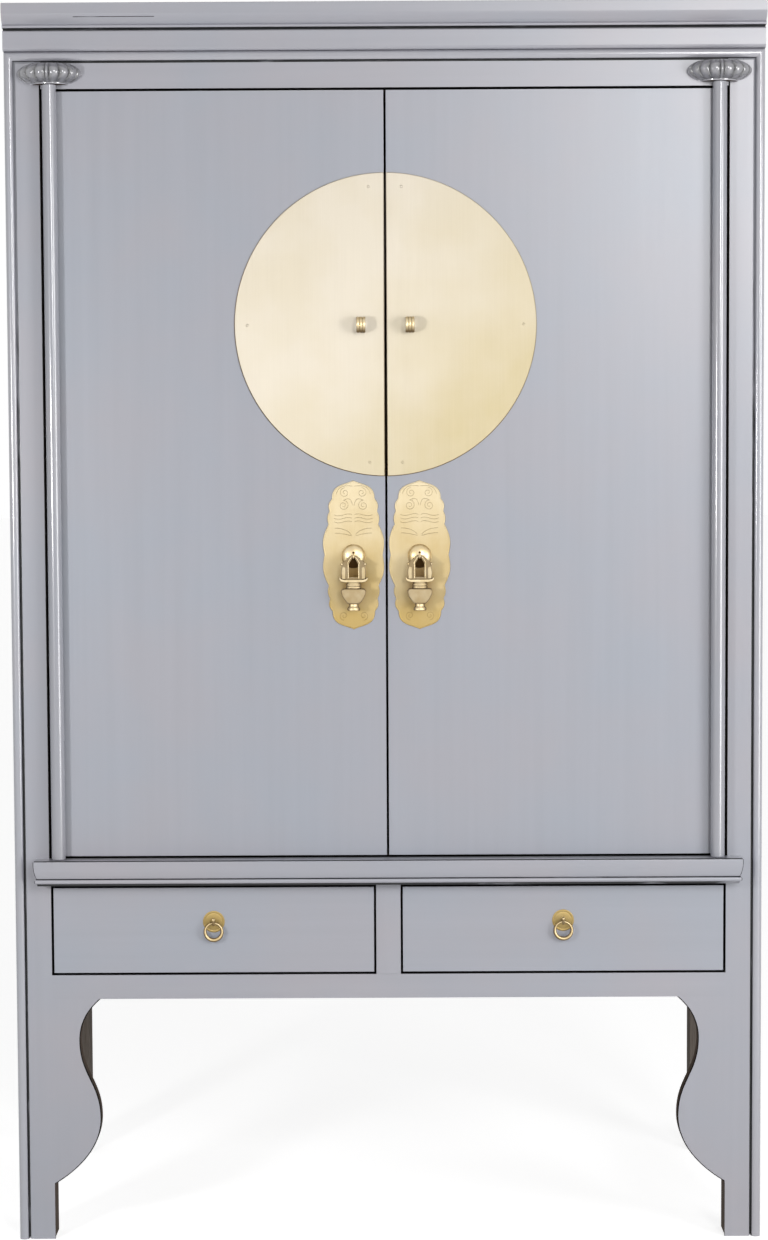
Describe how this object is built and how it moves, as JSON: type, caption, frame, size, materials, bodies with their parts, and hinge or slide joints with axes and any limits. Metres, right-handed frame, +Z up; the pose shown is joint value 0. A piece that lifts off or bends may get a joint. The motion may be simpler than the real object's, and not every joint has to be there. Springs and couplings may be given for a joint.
{
  "type": "chinese wedding cabinet",
  "caption": "Tall lacquered wedding cabinet on square legs: pole-hung doors with a round brass lock plate and vase-shaped drop pulls, over drawers with ring pulls.",
  "frame": {"origin": "on the floor, under the middle of the cabinet's bounding box", "axes": "+Z up along the height, +X to the viewer's right when facing the doors, +Y from the doors to the back"},
  "size_m": [1.064, 0.565, 1.752],
  "materials": {
    "grey_lacquer": "satin cool-grey lacquer over wood, with dark glaze left in the grooves",
    "stained_wood": "matt dark-brown stain inside and behind",
    "brass": "pale brushed and cast brass"
  },
  "bodies": {
    "carcass": {"apron_rail": "grey_lacquer", "back_lower_rail": "stained_wood", "back_panel": "stained_wood", "back_top_rail": "stained_wood", "cabinet_floor": "stained_wood", "centre_drawer_runner": "stained_wood", "cornice_frieze": "grey_lacquer", "door_stop": "stained_wood", "drawer_divider": "grey_lacquer", "front_left_post": "grey_lacquer", "front_right_post": "grey_lacquer", "left_drawer_runner": "stained_wood", "left_pivot_capital": "grey_lacquer", "left_shelf_cleat": "stained_wood", "left_side_lower_rail": "grey_lacquer", "left_side_panel": "grey_lacquer", "left_side_top_rail": "grey_lacquer", "left_spandrel": "grey_lacquer", "middle_rail": "grey_lacquer", "pivot_ledge": "grey_lacquer", "rear_left_post": "grey_lacquer", "rear_right_post": "grey_lacquer", "right_drawer_runner": "stained_wood", "right_pivot_capital": "grey_lacquer", "right_shelf_cleat": "stained_wood", "right_side_lower_rail": "grey_lacquer", "right_side_panel": "grey_lacquer", "right_side_top_rail": "grey_lacquer", "right_spandrel": "grey_lacquer", "shelf": "stained_wood", "top_bead": "grey_lacquer", "top_board": "grey_lacquer", "top_rail": "grey_lacquer"},
    "left_door": {"left_door_panel": "grey_lacquer", "left_door_pole": "grey_lacquer", "left_moon_plate": "brass", "left_lock_staple": "brass", "left_pull_plate": "brass", "left_pull_boss": "brass"},
    "left_door_pull": {"left_drop_pull": "brass"},
    "left_drawer": {"left_drawer_front": "grey_lacquer", "left_drawer_box": "stained_wood", "left_drawer_bottom": "stained_wood", "left_ring_plate": "brass", "left_ring_cotter": "brass"},
    "left_drawer_ring": {"left_ring_pull": "brass"},
    "right_door": {"right_door_panel": "grey_lacquer", "right_door_pole": "grey_lacquer", "right_moon_plate": "brass", "right_lock_staple": "brass", "right_pull_plate": "brass", "right_pull_boss": "brass"},
    "right_door_pull": {"right_drop_pull": "brass"},
    "right_drawer": {"right_drawer_front": "grey_lacquer", "right_drawer_box": "stained_wood", "right_drawer_bottom": "stained_wood", "right_ring_plate": "brass", "right_ring_cotter": "brass"},
    "right_drawer_ring": {"right_ring_pull": "brass"}
  },
  "joints": [
    {"name": "left_door_hinge", "type": "hinge", "parent": "carcass", "child": "left_door", "pos_m": [-0.4675, -0.253, 0.5513], "axis": [0, 0, -1], "range_deg": [0, 170]},
    {"name": "left_door_pull_hinge", "type": "hinge", "parent": "left_door", "child": "left_door_pull", "pos_m": [-0.0467, -0.2595, 0.9805], "axis": [-1, 0, 0], "range_deg": [-4, 85]},
    {"name": "left_drawer_slide", "type": "slide", "parent": "carcass", "child": "left_drawer", "axis": [0, -1, 0], "range_m": [0, 0.33]},
    {"name": "left_drawer_ring_hinge", "type": "hinge", "parent": "left_drawer", "child": "left_drawer_ring", "pos_m": [-0.249, -0.25, 0.4595], "axis": [-1, 0, 0], "range_deg": [-8, 85]},
    {"name": "right_door_hinge", "type": "hinge", "parent": "carcass", "child": "right_door", "pos_m": [0.4675, -0.253, 0.5513], "axis": [0, 0, 1], "range_deg": [0, 170]},
    {"name": "right_door_pull_hinge", "type": "hinge", "parent": "right_door", "child": "right_door_pull", "pos_m": [0.0467, -0.2595, 0.9805], "axis": [-1, 0, 0], "range_deg": [-4, 85]},
    {"name": "right_drawer_slide", "type": "slide", "parent": "carcass", "child": "right_drawer", "axis": [0, -1, 0], "range_m": [0, 0.33]},
    {"name": "right_drawer_ring_hinge", "type": "hinge", "parent": "right_drawer", "child": "right_drawer_ring", "pos_m": [0.249, -0.25, 0.4595], "axis": [-1, 0, 0], "range_deg": [-8, 85]}
  ]
}
